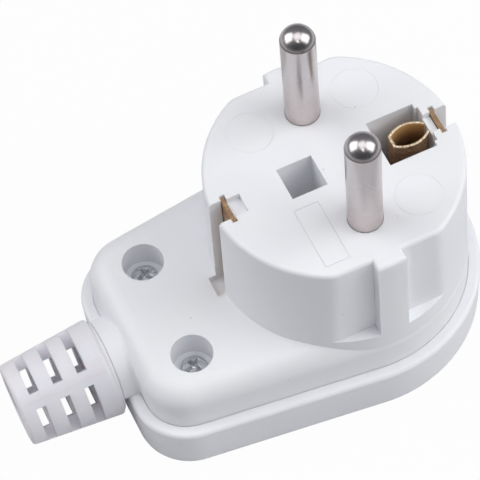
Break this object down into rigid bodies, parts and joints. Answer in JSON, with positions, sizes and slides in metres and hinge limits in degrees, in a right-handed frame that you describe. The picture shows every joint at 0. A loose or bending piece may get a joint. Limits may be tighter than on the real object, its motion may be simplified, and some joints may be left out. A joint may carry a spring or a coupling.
{
  "type": "type f plug",
  "caption": "Rewirable angled earthed plug: round face with contact pins, side earth clips and an earth socket, low back with a slotted bend protector for the cord.",
  "frame": {"origin": "on the flat back face, on the axis of the round face body", "axes": "+Z along the contact pins, towards their tips; +X from the cord end to the round end; +Y from the near pin to the far pin"},
  "size_m": [0.0698, 0.0396, 0.0527],
  "materials": {
    "white_abs": "satin moulded",
    "white_abs_back": "satin moulded",
    "soft_pvc": "soft satin",
    "carrier_plastic": "moulded",
    "nickel_plate": "nickel plated, polished",
    "brass": "bare, rolled",
    "zinc_steel": "zinc plated"
  },
  "bodies": {
    "root": {"front_housing": "white_abs", "back_shell": "white_abs_back", "bend_protector": "soft_pvc", "contact_pin_far": "nickel_plate", "contact_pin_near": "nickel_plate", "terminal_screw_far": "zinc_steel", "terminal_screw_near": "zinc_steel", "pin_carrier": "carrier_plastic", "carrier_screw_far": "zinc_steel", "carrier_screw_near": "zinc_steel", "earth_bow": "brass", "earth_socket": "brass", "earth_rivet": "brass", "earth_clamp_washer": "zinc_steel", "earth_terminal_screw": "zinc_steel", "cover_screw_far": "zinc_steel", "cover_screw_near": "zinc_steel", "cord_clamp_bar": "carrier_plastic", "clamp_screw_far": "zinc_steel", "clamp_screw_near": "zinc_steel"}
  },
  "joints": []
}
